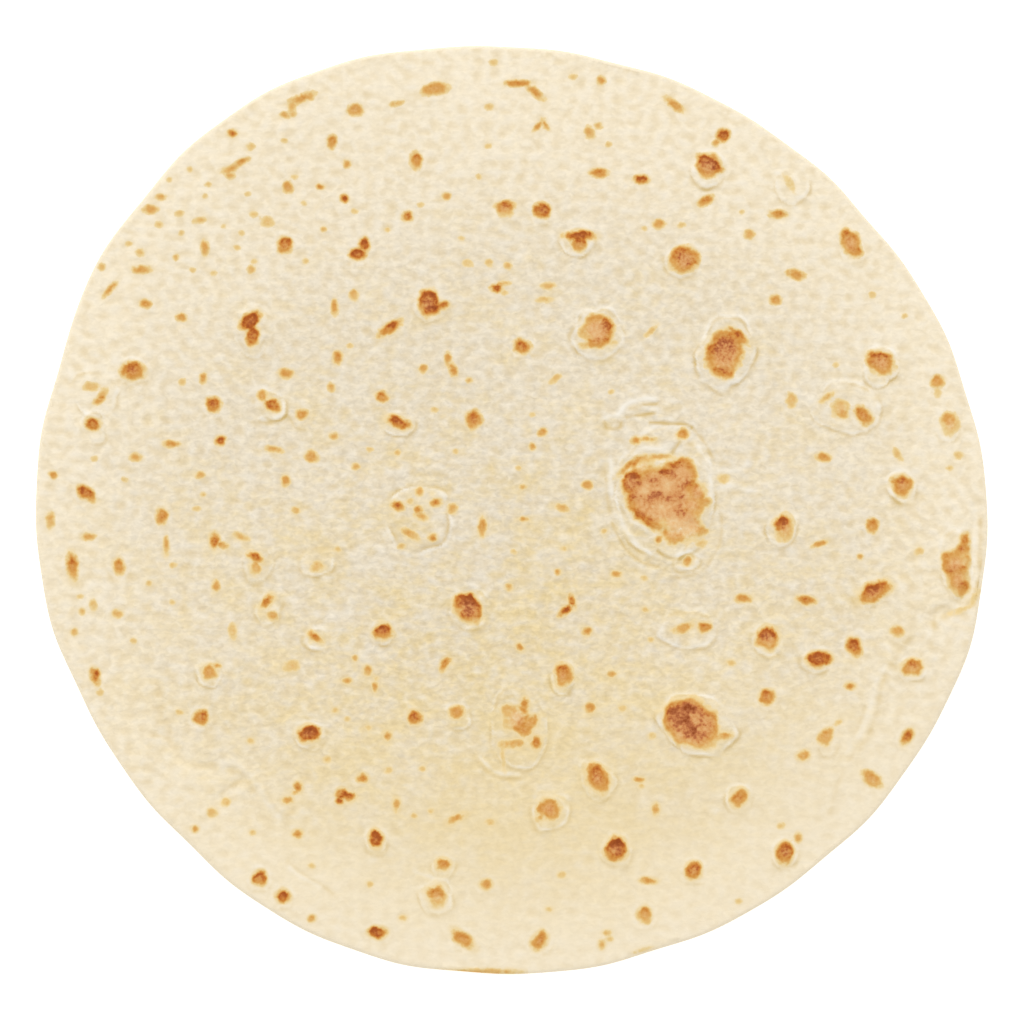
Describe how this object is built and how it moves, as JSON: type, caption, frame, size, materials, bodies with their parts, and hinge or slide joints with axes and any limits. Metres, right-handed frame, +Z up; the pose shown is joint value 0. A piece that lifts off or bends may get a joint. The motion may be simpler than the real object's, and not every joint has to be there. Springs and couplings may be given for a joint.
{
  "type": "piadina",
  "caption": "Thin round flatbread with an uneven rim, low griddle blisters and scattered toasted spots.",
  "frame": {"origin": "on the table, under the middle of the bread's bounding box", "axes": "+Z up out of the blistered side, +X across the bread's widest span, +Y away from the lower edge of the view from above"},
  "size_m": [0.281, 0.2742, 0.0046],
  "materials": {
    "baked_dough": "matt baked dough, dry and floury"
  },
  "bodies": {
    "root": {"piadina": "baked_dough"}
  },
  "joints": []
}
